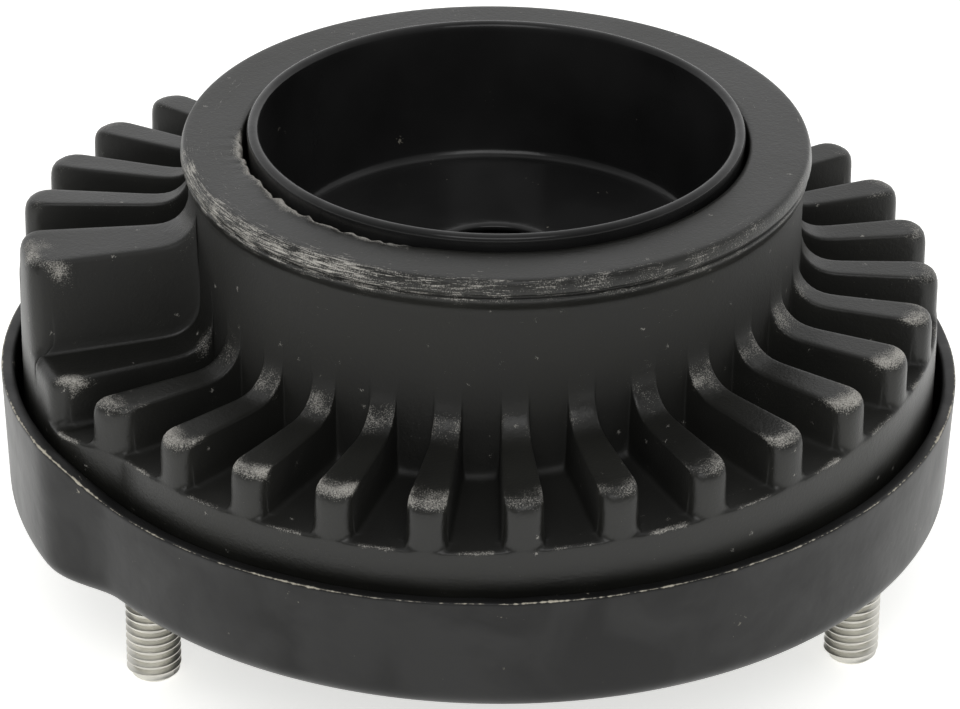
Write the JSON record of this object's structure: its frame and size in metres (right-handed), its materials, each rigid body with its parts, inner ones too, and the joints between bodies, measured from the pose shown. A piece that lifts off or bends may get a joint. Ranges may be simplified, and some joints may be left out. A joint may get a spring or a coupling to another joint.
{
  "type": "strut mount",
  "caption": "Upper strut mount: stamped steel pan with threaded studs, ribbed rubber coil spring seat with a stop block, and a steel bump stop cup with a rod passage.",
  "frame": {"origin": "centre of the bounding box in X and Y, at the stud tips that the mount stands on", "axes": "+Z along the strut's axis, from the stud tips to the cup's open rim; +X away from the stop block's lobe; the strut's axis is at X = 0.00207"},
  "size_m": [0.1408, 0.1368, 0.0734],
  "materials": {
    "coated_steel": "black dip coat, semi-gloss, worn thin along the trimmed edge",
    "moulded_rubber": "moulded, matte to satin, dusty and scuffed on the rib ends",
    "drawn_steel": "black dip coat over deep-drawn steel, glossy",
    "phosphated_steel": "turned and phosphated, dark grey",
    "zinc_steel": "rolled thread, zinc plated, satin"
  },
  "bodies": {
    "root": {"housing_pan": "coated_steel", "spring_seat": "moulded_rubber", "bump_stop_cup": "drawn_steel", "bush_housing": "coated_steel", "inner_bush": "moulded_rubber", "rod_core": "phosphated_steel", "stud_1": "zinc_steel", "stud_2": "zinc_steel", "stud_3": "zinc_steel"}
  },
  "joints": []
}
